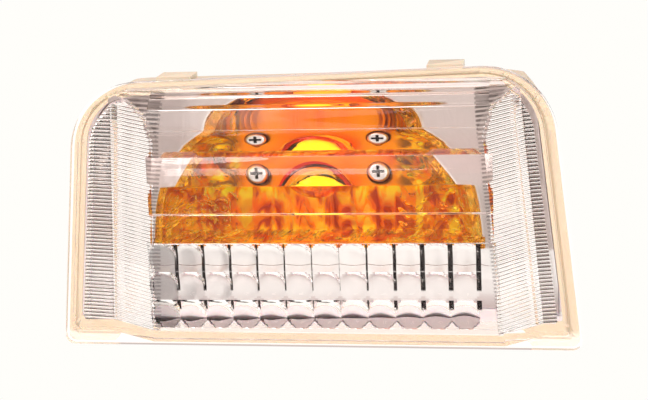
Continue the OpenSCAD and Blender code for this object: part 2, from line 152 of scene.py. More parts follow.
def asObject(name, solid):
    bmesh.ops.recalc_face_normals(solid, faces=solid.faces)
    mesh = bpy.data.meshes.new(name)
    solid.to_mesh(mesh)
    solid.free()
    obj = bpy.data.objects.new(name, mesh)
    bpy.context.scene.collection.objects.link(obj)
    return obj


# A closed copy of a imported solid, whose own mesh is loose triangles
def mergedCopy(node, name, near=1e-7):
    solid = bmesh.new()
    solid.from_mesh(nodes[node].data)
    bmesh.ops.remove_doubles(solid, verts=solid.verts, dist=near)
    return asObject(name, solid)


# A closed solid from a flat outline, run between two depths and then placed by a matrix
def prism(points, low, high, place):
    solid = bmesh.new()
    rings = [[solid.verts.new(place @ Vector((p[0], p[1], w))) for p in points] for w in (low, high)]
    solid.faces.new(rings[0])
    solid.faces.new(rings[1])
    for i in range(len(points)):
        solid.faces.new((rings[0][i - 1], rings[0][i], rings[1][i], rings[1][i - 1]))
    return asObject("prism", solid)


alongX = Matrix(((0, 0, 1, 0), (1, 0, 0, 0), (0, 1, 0, 0), (0, 0, 0, 1)))
alongY = Matrix(((1, 0, 0, 0), (0, 0, 1, 0), (0, 1, 0, 0), (0, 0, 0, 1)))


# Joins, cuts or intersects two closed solids and drops the second
def combined(base, other, operation):
    modifier = base.modifiers.new("combined", "BOOLEAN")
    modifier.object = other
    modifier.operation = operation
    modifier.solver = "MANIFOLD"
    settled(base)
    bpy.data.objects.remove(other)
    return base


# Smooth shading that leaves flat faces flat and edges above an angle sharp
def smoothed(obj, angle):
    obj.data.shade_smooth()
    obj.data.set_sharp_from_angle(angle=math.radians(angle))
    modifier = obj.modifiers.new("flat faces", "WEIGHTED_NORMAL")
    modifier.keep_sharp = True
    settled(obj)


def arcPoints(centre, radius, start, end, steps):
    turns = [math.radians(start + (end - start) * k / steps) for k in range(steps + 1)]
    return [Vector((centre[0] + radius * math.cos(a), centre[1] + radius * math.sin(a))) for a in turns]


# Rounds the corners of an outline that turn by more than an angle, over a share of their sides at most
def softened(points, radius, leastTurn=0.5, share=0.45, steps=5):
    soft = []
    for i, p in enumerate(points):
        u, v = p - points[i - 1], points[(i + 1) % len(points)] - p
        turn = u.angle(v)
        if turn <= leastTurn:
            soft.append(p)
            continue
        reach = min(radius * math.tan(turn / 2), share * u.length, share * v.length)
        a, b = p - u.normalized() * reach, p + v.normalized() * reach
        for k in range(steps + 1):
            s = k / steps
            soft.append(a * (1 - s) ** 2 + p * 2 * s * (1 - s) + b * s ** 2)
    return soft


# Lens: the clear moulding, built as the real one's solids in millimetres
lens = {
    "width": 134.4, "height": 70.4, "sideLean": 6.2, "climb": 3.1, "drop": 0.9,
    "topRadius": 18.3, "footRadius": 2.5, "leastRadius": 0.8, "cornerSteps": 20,
    "seatFront": -2.5, "flange": 2.2, "flangeSide": 3.1, "flangeTop": 1.3, "flangeFoot": 5.2,
    "wall": 2.4, "faceDepth": 12.5, "ledgeDepth": 4.0, "browRadius": 14.0, "browSteps": 40,
    "faceEdge": {"left": 38.0, "right": 45.6}, "slope": {"left": 13.0, "right": 9.4},
    "lean": {"left": 3.2, "right": 4.8},
    # The optics: how thick they are where thinnest, how far they sink into the wall, and how far before
    # the seat they end
    "thinnest": 3.0, "sink": 0.4, "seatGap": 0.1,
    "flutePitch": 7.26, "browEdges": (44, 66, 84), "fluteEnd": {"left": 38.6, "right": 45.2},
    # Each flute from the lowest up: how far it stands in at its foot, how steeply it thickens, how that
    # grows, and the height of the bead along its foot
    "flutes": ((0.6, -0.6, 0.0, 0.0), (2.2, -2.2, 0.0, 0.0), (0.0, 5.7, 0.8, 0.0), (0.5, -1.1, 1.2, 0.0),
               (0.2, 0.9, -1.1, 0.0), (0.3, -0.2, -0.1, 0.8), (0.1, -0.1, 0.0, 0.8)),
    "beadShare": 0.36, "fluteSteps": 24, "edgeRadius": 0.22, "leastStep": 0.001,
    # How far the lowest flute runs down into the pillows, and how much thinner it is there
    "fluteFoot": {"down": 0.3, "thinner": 0.2},
    "pillowRows": 3, "pillowPitch": 6.83, "pillowStart": 1.8, "pillowEnd": {"left": 41.0, "right": 46.4},
    "pillowRadius": 6.2, "pillowDepth": 1.4, "pillowSoft": 0.12,
    # A pillow's mesh: its steps, how far they crowd to its edges, and the gap beside the first column
    "pillowSteps": 18, "crowding": 0.35, "hair": 0.01,
    "ridgePitch": 0.95, "ridgeHeight": 0.4, "ridgeSteps": 8,
    # How far a cutting block runs past what it cuts, how far the largest ones run, and from which angle an
    # edge is sharp
    "past": 1.0, "far": 100.0, "sharp": 14,
}
lens["flangeFront"] = lens["seatFront"] - lens["flange"]
lens["face"] = lens["flangeFront"] - lens["faceDepth"]
lens["ledge"] = lens["flangeFront"] - lens["ledgeDepth"]
lens["rise"] = lens["ledge"] - lens["face"]
lens["browTop"] = lens["height"] / 2 - lens["flangeTop"]
lens["browZ"] = lens["browTop"] - lens["browRadius"]
lens["opticFront"] = lens["wall"] - lens["sink"]
lens["opticFoot"] = -lens["height"] / 2 + lens["flangeFoot"] + lens["wall"] + lens["past"]
lens["pillowLeft"] = -lens["faceEdge"]["left"] - lens["pillowStart"]
lens["pillowTop"] = lens["opticFoot"] + lens["flutePitch"] * lens["pillowRows"]


# The lamp's outline drawn in by a width at the sides, the top and the foot
def outline(side=0.0, top=0.0, foot=0.0):
    w, h = lens["width"], lens["height"]
    lean = h * math.tan(math.radians(lens["sideLean"]))
    corners = [Vector(corner) for corner in (
        (-w / 2, (lens["drop"] - h) / 2), (-w / 2 + lean, (h - lens["climb"]) / 2),
        (w / 2 - lean, (h + lens["climb"]) / 2), (w / 2, -(lens["drop"] + h) / 2))]
    lines = []
    for start, end, inset in zip(corners, corners[1:] + corners[:1], (side, top, side, foot)):
        along = (end - start).normalized()
        lines.append((start + Vector((along.y, -along.x)) * inset, along))
    points = []
    radii = [lens[name] for name in ("footRadius", "topRadius", "topRadius", "footRadius")]
    for i, radius in enumerate(radii):
        (p, u), (q, v) = lines[i - 1], lines[i]
        corner = p + u * ((q.x - p.x) * v.y - (q.y - p.y) * v.x) / (u.x * v.y - u.y * v.x)
        turn = u.angle(v)
        r = max(radius - side, lens["leastRadius"])
        centre = corner + (v - u).normalized() * r / math.cos(turn / 2)
        bearing = math.degrees(math.atan2(u.x, -u.y))
        points += arcPoints(centre, r, bearing, bearing - math.degrees(turn), lens["cornerSteps"])
    return points


# The slope beside the face and its lean, mirrored for the left side
def sidePlace(side):
    lean = Matrix.Rotation(math.radians(-lens["lean"][side]), 4, "Y")
    return Matrix.Scale(-1, 4, (1, 0, 0)) @ lean if side == "left" else lean


def slopeX(side, inset, y):
    slope, rise = lens["slope"][side], lens["rise"]
    return lens["faceEdge"][side] + (slope * (y - lens["face"]) - inset * math.hypot(slope, rise)) / rise


# The raised part of the lens, drawn in by a thickness
def raised(inset, rear):
    far, face, brow, past = lens["far"], lens["face"], lens["browRadius"], lens["past"]
    side = [Vector((far, -far)), Vector((face + inset, -far))]
    side += arcPoints((face + brow, lens["browZ"]), brow - inset, 180, 90, lens["browSteps"])
    side += [Vector((far, lens["browTop"] - inset))]
    edge = outline(lens["flangeSide"] + inset, lens["flangeTop"] + inset, lens["flangeFoot"] + inset)
    solid = combined(prism(side, -far, far, alongX), prism(edge, face - past, rear, alongY), "INTERSECT")
    for name in ("left", "right"):
        near, deep = face - 2 * past, lens["ledge"] + inset
        plan = [Vector((slopeX(name, inset, deep), deep)), Vector((slopeX(name, inset, near), near)),
                Vector((far, near)), Vector((far, deep))]
        solid = combined(solid, prism(plan, -far, far, sidePlace(name)), "DIFFERENCE")
    return solid


# A point on the face at a height, drawn in by a thickness
def skin(z, thickness):
    a = math.asin(max(0.0, z - lens["browZ"]) / lens["browRadius"])
    depth = lens["face"] + lens["browRadius"] * (1 - math.cos(a)) + thickness * math.cos(a)
    return Vector((depth, z - thickness * math.sin(a)))


# The flutes: prisms across the whole face, the upper ones on the curve of its brow
def fluteBlock():
    foot, under = lens["pillowTop"], lens["fluteFoot"]
    upright = len(lens["flutes"]) - len(lens["browEdges"])
    edges = [foot + lens["flutePitch"] * i for i in range(upright + 1)]
    turns = [math.radians(turn) for turn in lens["browEdges"]]
    edges += [lens["browZ"] + lens["browRadius"] * math.sin(turn) for turn in turns]
    profile = [skin(foot - under["down"], lens["thinnest"] - under["thinner"])]
    for low, high, (lift, steep, growth, bead) in zip(edges, edges[1:], lens["flutes"]):
        for k in range(lens["fluteSteps"] + 1):
            s = k / lens["fluteSteps"]
            thick = lens["thinnest"] + lift + steep * s + growth * s * s
            if bead and s < lens["beadShare"]:
                thick += bead * math.sin(math.pi * s / lens["beadShare"])
            point = skin(low + (high - low) * s, thick)
            if (point - profile[-1]).length > lens["leastStep"]:
                profile.append(point)
    profile = softened(profile, lens["edgeRadius"])
    front = [skin(z, lens["opticFront"]) for z in reversed([foot - under["down"]] + edges)]
    return prism(profile + front, -lens["fluteEnd"]["left"], lens["fluteEnd"]["right"], alongX)


# The pillows: square domes on the back of a plate, in rows and columns
def pillowBlock():
    pitch, height, x0, z0 = lens["pillowPitch"], lens["flutePitch"], lens["pillowLeft"], lens["opticFoot"]
    radius, soft, deepest = lens["pillowRadius"], lens["pillowSoft"], lens["pillowDepth"]
    fine = lens["pillowSteps"]
    columns = int((lens["faceEdge"]["right"] - x0) / pitch)
    tiny = 1e-6

    def thickness(u, v):
        fall = radius - math.sqrt(radius ** 2 - (pitch * (u - 0.5)) ** 2 - (height * (v - 0.5)) ** 2)
        blend = max(soft - abs(fall - deepest), 0.0) / soft
        return lens["thinnest"] + deepest - min(fall, deepest) + blend * blend * soft / 4

    # The mesh is closer at the edges of a pillow than in its middle
    def crowded(k):
        s = k / fine
        return s + lens["crowding"] * math.sin(2 * math.pi * s) / (2 * math.pi)

    xs = [-lens["pillowEnd"]["left"], x0 - lens["hair"]]
    xs += [x0 + pitch * (i + crowded(k)) for i in range(columns) for k in range(fine)]
    xs += [x0 + pitch * columns, lens["pillowEnd"]["right"]]
    zs = [z0 + height * (i + crowded(k)) for i in range(lens["pillowRows"]) for k in range(fine)]
    zs += [lens["pillowTop"]]
    block = bmesh.new()
    rings = []
    for x in xs:
        u = (x - x0) / pitch
        within = -tiny <= u <= columns + tiny
        column = []
        for z in zs:
            deep = thickness(u % 1, (z - z0) / height % 1) if within else lens["thinnest"]
            column.append(block.verts.new((x, lens["face"] + deep, z)))
        front = lens["face"] + lens["opticFront"]
        rings.append(column + [block.verts.new((x, front, zs[-1])), block.verts.new((x, front, zs[0]))])
    for a, b in zip(rings, rings[1:]):
        for j in range(len(a)):
            block.faces.new((a[j - 1], a[j], b[j], b[j - 1]))
    block.faces.new(rings[0])
    block.faces.new(rings[-1])
    return asObject("pillows", block)


# A wing's ridges: a rounded comb along the ledge and another along the slope
def ridgeBlocks(side):
    pitch, height, waves, sink = lens["ridgePitch"], lens["ridgeHeight"], lens["ridgeSteps"], lens["sink"]
    count = int(lens["height"] / pitch)
    comb = [Vector((-sink, 0))]
    comb += [Vector((height * (0.5 - 0.5 * math.cos(2 * math.pi * k / waves)), (i + k / waves) * pitch))
             for i in range(count) for k in range(waves)]
    comb += [Vector((0, count * pitch)), Vector((-sink, count * pitch))]
    footY = lens["ledge"] + lens["wall"]
    footX = slopeX(side, lens["wall"], footY)
    base = sidePlace(side) @ Matrix.Translation((footX, footY, -lens["height"] / 2))
    ledge = prism(comb, 0, lens["width"] / 2 - footX, base @ alongX)
    slope = Vector((-lens["slope"][side], -lens["rise"], 0)).normalized()
    normal = Vector((slope.y, -slope.x, 0))
    if normal.y < 0:
        normal.negate()
    turn = Matrix((normal, Vector((0, 0, 1)), slope)).transposed().to_4x4()
    ramp = prism(comb, 0, math.hypot(lens["slope"][side], lens["rise"]) + lens["past"], base @ turn)
    return ledge, ramp


def lensShape():
    seat = lens["seatFront"]
    shape = combined(prism(outline(), lens["flangeFront"], seat, alongY), raised(0.0, seat), "UNION")
    shape = combined(shape, raised(lens["wall"], seat + lens["past"]), "DIFFERENCE")
    optics = combined(fluteBlock(), pillowBlock(), "UNION")
    for side in ("left", "right"):
        for block in ridgeBlocks(side):
            optics = combined(optics, block, "UNION")
    optics = combined(optics, raised(lens["opticFront"], seat - lens["seatGap"]), "INTERSECT")
    shape = combined(shape, optics, "UNION")
    shape.data.transform(Matrix.Scale(mm, 4))
    low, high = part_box("lens")
    for vertex in shape.data.vertices:
        vertex.co = [min(max(c, a), b) for c, a, b in zip(vertex.co, low, high)]
    shape.name = shape.data.name = "clear_lens"
    smoothed(shape, lens["sharp"])
    return shape


# Where the real lens turns the light away, its inner side looks dark. Such lines are thinner than the mesh
# can show, so they are painted shade on it, in millimetres
marks = {
    # Upright lines: where they are thinnest, half their width there, the places left and right of it where
    # they are widest, with half that width, and the height in a row from which they are seen, less in each
    # row above
    "line": {"thinAt": 8.0, "half": 0.07, "ends": ((-39.8, 0.548), (29.15, 0.62)),
             "from": 0.65, "fall": 0.325, "rowSoft": 0.04},
    # Dashes under the top edge of the lowest row, from the left to a little past the middle
    "dash": {"height": 0.9, "to": (10.0, 8.0)},
    # A thin curve near the foot of the top row
    "curve": {"foot": 1.5, "sag": 0.55, "thick": 0.09},
    # A painted grey end on the left, standing in for the side wall seen through the pillows
    "grey": {"to": (-32.8, -33.3), "strength": 0.7},
    # How soft the edges are, and how far behind the deepest pillow the marks end
    "blend": 0.1, "soft": 0.05, "crisp": 0.007, "rightFade": 1.0, "behind": 0.3,
}


def pillowMarks(tree, place):
    pitch, height = lens["pillowPitch"], lens["flutePitch"]
    foot, left, right = lens["opticFoot"], lens["pillowLeft"], lens["faceEdge"]["right"]
    line, dash, curve, grey = marks["line"], marks["dash"], marks["curve"], marks["grey"]
    blend, soft, crisp = marks["blend"], marks["soft"], marks["crisp"]
    x, y, z = addNode(tree, "ShaderNodeSeparateXYZ", {"Vector": place}).outputs
    fromLeft = addNode(tree, "ShaderNodeMath", {0: x, 1: left}, operation="SUBTRACT")
    fromFoot = addNode(tree, "ShaderNodeMath", {0: z, 1: foot}, operation="SUBTRACT")
    upwards = addNode(tree, "ShaderNodeMath", {0: fromFoot, 1: height}, operation="DIVIDE")
    row = addNode(tree, "ShaderNodeMath", {0: upwards}, operation="FRACT")
    number = addNode(tree, "ShaderNodeMath", {0: upwards}, operation="FLOOR")
    overRow = product(tree, row, height)
    wave = addNode(tree, "ShaderNodeMath", {0: product(tree, fromLeft, math.pi / pitch)}, operation="SINE")
    arch = addNode(tree, "ShaderNodeMath", {0: wave}, operation="ABSOLUTE")
    # The inner side of the pillows, from the edge of the first column to the right end of the face
    rowsTop, inner = lens["pillowTop"], lens["face"] + lens["thinnest"]
    where = mask(tree, (x, left - blend, left + blend), (x, right, right - marks["rightFade"]),
                 (z, foot - blend, foot), (z, rowsTop, rowsTop - blend),
                 (y, inner - 3 * blend, inner - 2 * blend))
    # Upright lines
    toEdge = addNode(tree, "ShaderNodeMath", {0: fromLeft, 1: pitch / 2}, operation="PINGPONG")
    halves = [addNode(tree, "ShaderNodeMapRange", {"Value": x, "From Min": line["thinAt"], "From Max": end,
                                                   "To Min": line["half"], "To Max": half})
              for end, half in line["ends"]]
    half = addNode(tree, "ShaderNodeMath", dict(enumerate(halves)), operation="MAXIMUM")
    inLine = addNode(tree, "ShaderNodeMath", {0: half, 1: toEdge}, operation="SUBTRACT")
    shown = addNode(tree, "ShaderNodeMath", {0: number, 1: line["fall"], 2: row}, operation="MULTIPLY_ADD")
    start, rowSoft = line["from"], line["rowSoft"]
    lines = mask(tree, (inLine, -soft, soft), (shown, start - rowSoft, start + rowSoft))
    # Dashes under the top edge of the lowest row
    reach = addNode(tree, "ShaderNodeMath", {0: arch, 1: dash["height"], 2: overRow},
                    operation="MULTIPLY_ADD")
    second = foot + height
    dashes = mask(tree, (reach, height - soft, height + soft), (z, second + crisp, second - crisp),
                  (x, *dash["to"]))
    dark = addNode(tree, "ShaderNodeMath", {0: lines, 1: dashes}, operation="MAXIMUM")
    # The curve near the foot of the top row
    level = addNode(tree, "ShaderNodeMath", {0: arch, 1: curve["sag"], 2: overRow},
                    operation="MULTIPLY_ADD")
    over = addNode(tree, "ShaderNodeMath", {0: level, 1: curve["foot"] + curve["sag"]}, operation="SUBTRACT")
    off = addNode(tree, "ShaderNodeMath", {0: over}, operation="ABSOLUTE")
    highest = rowsTop - height
    curved = mask(tree, (off, curve["thick"], curve["thick"] / 2), (z, highest - blend, highest + blend))
    back = inner + lens["pillowDepth"] + marks["behind"]
    end = mask(tree, (x, *grey["to"]), (y, back, back - blend))
    end = product(tree, end, grey["strength"])
    return [product(tree, mark, where) for mark in (dark, curved, end)]


# Painted shade in the valleys between the ridges of the wings, on their inner side: how dark by the comb's
# cosine, from which depth behind the front of the wall, how much on the slope, by how far the face looks
# backwards, and how far before the flange it ends
valleys = {"shade": (-0.75, 0.45), "depth": (1.2, 1.6), "onSlope": 0.75, "ledgeBlend": 0.1,
           "facing": (0.15, 0.35), "beforeFlange": (0.5, 0.8)}


def ridgeValleys(tree, place):
    y = addNode(tree, "ShaderNodeSeparateXYZ", {"Vector": place}).outputs["Y"]
    shallow, deep = valleys["depth"]
    wings = []
    for side, sign in (("left", -1), ("right", 1)):
        lean, edge = math.radians(lens["lean"][side]), lens["faceEdge"][side]
        rate = lens["slope"][side] / lens["rise"]
        outwards = (math.cos(lean) * sign, 0, math.sin(lean))
        upright = (-math.sin(lean) * sign, 0, math.cos(lean))
        along = addNode(tree, "ShaderNodeVectorMath", {0: place, 1: outwards}, operation="DOT_PRODUCT")
        height = addNode(tree, "ShaderNodeVectorMath", {0: place, 1: upright}, operation="DOT_PRODUCT")
        turns = 2 * math.pi / lens["ridgePitch"]
        phase = addNode(tree, "ShaderNodeMath", {0: height, 1: turns, 2: turns * lens["height"] / 2},
                        operation="MULTIPLY_ADD")
        comb = addNode(tree, "ShaderNodeMath", {0: phase}, operation="COSINE")
        slope = addNode(tree, "ShaderNodeMath", {0: y, 1: rate, 2: edge - lens["face"] * rate},
                        operation="MULTIPLY_ADD")
        behind = addNode(tree, "ShaderNodeMath", {0: slope, 1: along}, operation="SUBTRACT")
        onSlope = mask(tree, (behind, shallow, deep),
                       (y, lens["ledge"], lens["ledge"] - valleys["ledgeBlend"]))
        onLedge = mask(tree, (y, lens["ledge"] + shallow, lens["ledge"] + deep))
        inner = addNode(tree, "ShaderNodeMath", {0: onLedge, 1: product(tree, onSlope, valleys["onSlope"])},
                        operation="MAXIMUM")
        shade = mask(tree, (comb, *valleys["shade"]), (along, edge - deep, edge - shallow))
        wings.append(product(tree, shade, inner))
    both = addNode(tree, "ShaderNodeMath", dict(enumerate(wings)), operation="MAXIMUM")
    normal = addNode(tree, "ShaderNodeNewGeometry").outputs["True Normal"]
    facing = addNode(tree, "ShaderNodeSeparateXYZ", {"Vector": normal}).outputs["Y"]
    backwards = addNode(tree, "ShaderNodeMath", {0: facing}, operation="ABSOLUTE")
    nearest, full = (lens["flangeFront"] - gap for gap in valleys["beforeFlange"])
    return product(tree, both, mask(tree, (backwards, *valleys["facing"]), (y, nearest, full)))


# Plastic that bends light. Rays towards the lamps and from matt surfaces pass straight through it in its
# shade, as the light it gathers would.
def clearPlastic(tree, shade, finish):
    body = addNode(tree, "ShaderNodeBsdfPrincipled",
                   {"Transmission Weight": 1.0, "Roughness": 0.0, **finish})
    straight = addNode(tree, "ShaderNodeBsdfTransparent", {"Color": shade})
    path = addNode(tree, "ShaderNodeLightPath").outputs
    lit = addNode(tree, "ShaderNodeMath", {0: path["Is Shadow Ray"], 1: path["Is Diffuse Ray"]},
                  operation="MAXIMUM")
    return addNode(tree, "ShaderNodeMixShader", {"Fac": lit, 1: body, 2: straight})


# Clear acrylic, moulded in a polished tool: nearly colourless, so the eye sees what lies behind it, bent
acrylic = {"finish": {"IOR": 1.49, "Specular Tint": "#8E8C8C"}, "shade": "#FFFFFF", "clear": "#FFFAF7",
           "valley": "#4A403A", "curve": "#5A3A34", "grey": "#4E484C", "dark": "#020101"}


def clearAcrylic(tree):
    place = millimetres(tree)
    # Painted shade in the ridge valleys and in the pillow lines, dashes and curve, and a painted grey end
    # for the side wall seen through
    dark, curve, end = pillowMarks(tree, place)
    colour = painted(tree, acrylic["clear"], (ridgeValleys(tree, place), acrylic["valley"]),
                     (curve, acrylic["curve"]), (end, acrylic["grey"]), (dark, acrylic["dark"]))
    return clearPlastic(tree, acrylic["shade"], {"Base Color": colour, **acrylic["finish"]})


lensObject = lensShape()
dress(lensObject, newMaterial("clear acrylic", clearAcrylic))
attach(lensObject, "root")
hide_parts("lens")
print("lens built:", len(lensObject.data.polygons), "faces")

# Housing: the cream tub, with the groove of the weld to the lens in the front of its rim
housing = {
    # The groove's outer and inner edge from the outline, at the sides and foot and at the top
    "groove": {"outer": (2.4, 1.5, 2.4), "inner": (3.0, 1.9, 3.0), "depth": 0.5}, "sharp": 28,
    "cream": "#DCCFB8", "cloud": "#D2C4A9", "cloudSize": 14, "footCream": "#EFE8DC", "inside": "#F4F0F2",
    # Where the light inside the tub leaves it nearly white: by how the faces point, their depth and height
    "inwards": (-3, -6), "from": (-1.95, -1.85), "top": (33.5, 33), "foot": (-31.5, -31),
    "forwards": (-0.5, -0.7), "floorFrom": (1, 2), "footFade": (-30.5, -32.5),
    "grain": {"size": 0.5, "depth": 0.02, "strength": 0.4},
}


# ABS, injection moulded in cream: a soft sheen with a little light inside it, faint clouds of a deeper cream
# and a moulded grain, drawn coarser than the real one so that it shows
def creamAbs(tree):
    place = millimetres(tree)
    axes = addNode(tree, "ShaderNodeSeparateXYZ", {"Vector": place}).outputs
    along, upwards = axes["Y"], axes["Z"]
    normal = addNode(tree, "ShaderNodeNewGeometry").outputs["True Normal"]
    facing = addNode(tree, "ShaderNodeSeparateXYZ", {"Vector": normal}).outputs["Y"]
    flat = addNode(tree, "ShaderNodeVectorMath", {0: place, 1: (1, 0, 1)}, operation="MULTIPLY")
    outwards = addNode(tree, "ShaderNodeVectorMath", {0: flat, 1: normal}, operation="DOT_PRODUCT")
    walls = mask(tree, (outwards, *housing["inwards"]), (along, *housing["from"]),
                 (upwards, *housing["top"]), (upwards, *housing["foot"]))
    floor = mask(tree, (facing, *housing["forwards"]), (along, *housing["floorFrom"]))
    inside = addNode(tree, "ShaderNodeMath", {0: walls, 1: floor}, operation="MAXIMUM")
    colour = painted(tree, housing["cream"], (blotches(tree, housing["cloudSize"], 3), housing["cloud"]),
                     (mask(tree, (upwards, *housing["footFade"])), housing["footCream"]),
                     (inside, housing["inside"]))
    grain = housing["grain"]
    relief = addNode(tree, "ShaderNodeBump", {"Height": blotches(tree, grain["size"]),
                                              "Strength": grain["strength"],
                                              "Distance": grain["depth"] * mm})
    return addNode(tree, "ShaderNodeBsdfPrincipled",
                   {"Base Color": colour, "Normal": relief, "Roughness": 0.35,
                    "Subsurface Weight": 0.15, "Subsurface Scale": 2 * mm})


tub = mergedCopy("housing", "cream_housing")
rimFront, groove, past = lens["seatFront"], housing["groove"], lens["past"]
ring = prism(outline(*groove["outer"]), rimFront - past, rimFront + groove["depth"], alongY)
core = prism(outline(*groove["inner"]), rimFront - 2 * past, rimFront + 2 * past, alongY)
ring = combined(ring, core, "DIFFERENCE")
ring.data.transform(Matrix.Scale(mm, 4))
tub = combined(tub, ring, "DIFFERENCE")
smoothed(tub, housing["sharp"])
dress(tub, newMaterial("cream moulded ABS", creamAbs))
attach(tub, "root")
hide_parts("housing")
print("housing built:", len(tub.data.polygons), "faces")

# Reflector: bright in the bowl behind the amber cap, grey beside it as painted shade, and bright again
# below, where it fades
reflector = {"bowlRadius": 42.5, "bowlZ": -9.8, "edge": 0.5, "below": (-0.5, -1.5), "fade": (-17.0, -27.0),
             "bowl": "#FFFFFF", "beside": "#CFC6C5", "under": "#FAFCFF", "foot": "#C6BEC0",
             "waves": {"size": 6, "stretch": (1, 1, 2), "swirl": 1.5, "depth": 0.3, "strength": 0.6}}


# Plastic with a vapour-laid metal coat: a soft mirror, whose slow waves break up what it reflects
def metallisedPlastic(tree):
    place, edge, waves = millimetres(tree), reflector["edge"], reflector["waves"]
    upwards = addNode(tree, "ShaderNodeSeparateXYZ", {"Vector": place}).outputs["Z"]
    radius = fromAxis(tree, place, 0, reflector["bowlZ"])
    outside = mask(tree, (radius, reflector["bowlRadius"] - edge, reflector["bowlRadius"] + edge))
    below = mask(tree, (upwards, *(reflector["bowlZ"] + step for step in reflector["below"])))
    # Painted shade: the metal beside the bowl is drawn grey
    above = painted(tree, reflector["bowl"], (outside, reflector["beside"]))
    under = painted(tree, reflector["under"], (mask(tree, (upwards, *reflector["fade"])), reflector["foot"]))
    relief = addNode(tree, "ShaderNodeBump",
                     {"Height": blotches(tree, waves["size"], 2, waves["stretch"], waves["swirl"]),
                      "Strength": waves["strength"], "Distance": waves["depth"] * mm})
    return addNode(tree, "ShaderNodeBsdfPrincipled", {"Base Color": painted(tree, above, (below, under)),
                                                      "Normal": relief, "Metallic": 1.0, "Roughness": 0.28})


dress(nodes["reflector"], newMaterial("metallised plastic", metallisedPlastic))
print("reflector dressed")


# A geometry node group that adds something repeated to a mesh: its sizes, then what its nodes make
def repeatGroup(name, inputs, make):
    group = bpy.data.node_groups.new(name, "GeometryNodeTree")
    face = group.interface
    face.new_socket(name="Geometry", in_out="INPUT", socket_type="NodeSocketGeometry")
    for label, kind in inputs + (("Place", "Vector"), ("Turn", "Vector"), ("Finish", "Material")):
        face.new_socket(name=label, in_out="INPUT", socket_type="NodeSocket" + kind)
    face.new_socket(name="Geometry", in_out="OUTPUT", socket_type="NodeSocketGeometry")
    given = addNode(group, "NodeGroupInput").outputs
    made = addNode(group, "GeometryNodeSetShadeSmooth", {"Geometry": make(group, given)})
    placed = addNode(group, "GeometryNodeTransform",
                     {"Geometry": made, "Translation": given["Place"], "Rotation": given["Turn"]})
    joined = addNode(group, "GeometryNodeJoinGeometry", {"Geometry": placed})
    group.links.new(given["Geometry"], joined.inputs["Geometry"])
    real = addNode(group, "GeometryNodeRealizeInstances", {"Geometry": joined})
    finish = addNode(group, "GeometryNodeSetMaterial", {"Geometry": real, "Material": given["Finish"]})
    addNode(group, "NodeGroupOutput", {"Geometry": finish})
    return group


# Turns of a round wire, as a coil or as a screw's thread
def makeTurns(group, given):
    path = addNode(group, "GeometryNodeCurveSpiral",
                   {"Resolution": 24, "Rotations": given["Turns"], "Start Radius": given["Radius"],
                    "End Radius": given["Radius"], "Height": given["Length"]})
    wire = addNode(group, "GeometryNodeCurvePrimitiveCircle", {"Resolution": 8, "Radius": given["Wire"]})
    return addNode(group, "GeometryNodeCurveToMesh",
                   {"Curve": path, "Profile Curve": wire, "Fill Caps": True})


# A ring of rounded ribs that point outwards, each a little different in length
def makeRibs(group, given):
    ring = addNode(group, "GeometryNodeMeshCircle", {"Vertices": given["Count"], "Radius": given["Ring"]})
    end = addNode(group, "ShaderNodeCombineXYZ", {"X": given["Rib"]})
    line = addNode(group, "GeometryNodeCurvePrimitiveLine", {"End": end})
    section = addNode(group, "GeometryNodeCurvePrimitiveCircle", {"Resolution": 12, "Radius": given["Half"]})
    rib = addNode(group, "GeometryNodeCurveToMesh",
                  {"Curve": line, "Profile Curve": section, "Fill Caps": True})
    spot = addNode(group, "GeometryNodeInputPosition")
    aim = addNode(group, "FunctionNodeAlignRotationToVector", {"Vector": spot}, axis="X")
    chance = addNode(group, "FunctionNodeRandomValue",
                     {2: given["Shortest"], 3: 1.0, "Seed": given["Seed"]}, data_type="FLOAT")
    stretch = addNode(group, "ShaderNodeCombineXYZ", {"X": chance, "Y": 1.0, "Z": 1.0})
    return addNode(group, "GeometryNodeInstanceOnPoints",
                   {"Points": ring, "Instance": rib, "Rotation": aim, "Scale": stretch})


wireInputs = (("Turns", "Float"), ("Radius", "Float"), ("Length", "Float"), ("Wire", "Float"))
ribInputs = (("Count", "Int"), ("Ring", "Float"), ("Rib", "Float"), ("Half", "Float"), ("Shortest", "Float"),
             ("Seed", "Int"))
turns = repeatGroup("turns of wire", wireInputs, makeTurns)
ribs = repeatGroup("ring of ribs", ribInputs, makeRibs)
quarter = math.pi / 2


# Gives a mesh what a group makes. Lengths and the place are in millimetres.
def grown(obj, group, values, place, turn, finish):
    lengths = ("Radius", "Length", "Wire", "Ring", "Rib", "Half")
    given = {name: value * mm if name in lengths else value for name, value in values.items()}
    given.update({"Place": Vector(place) * mm, "Turn": turn, "Finish": finish})
    modifier = obj.modifiers.new("grown", "NODES")
    modifier.node_group = group
    for item in group.interface.items_tree:
        if item.in_out == "INPUT" and item.name in given:
            modifier[item.identifier] = given[item.name]
    settled(obj)


# A surface with faint clouds of a second shade, a finer relief, and what else is painted over it
def cloudy(light, dark, size, depth, finish, over=None, cloudDetail=3, finer=6, strength=0.5):
    def surface(tree):
        relief = addNode(tree, "ShaderNodeBump", {"Height": blotches(tree, size / finer),
                                                  "Strength": strength, "Distance": depth * mm})
        layers = [(blotches(tree, size, cloudDetail), dark)]
        if over:
            layers.append(over(tree))
        colour = painted(tree, light, *layers)
        return addNode(tree, "ShaderNodeBsdfPrincipled", {"Base Color": colour, "Normal": relief, **finish})
    return surface


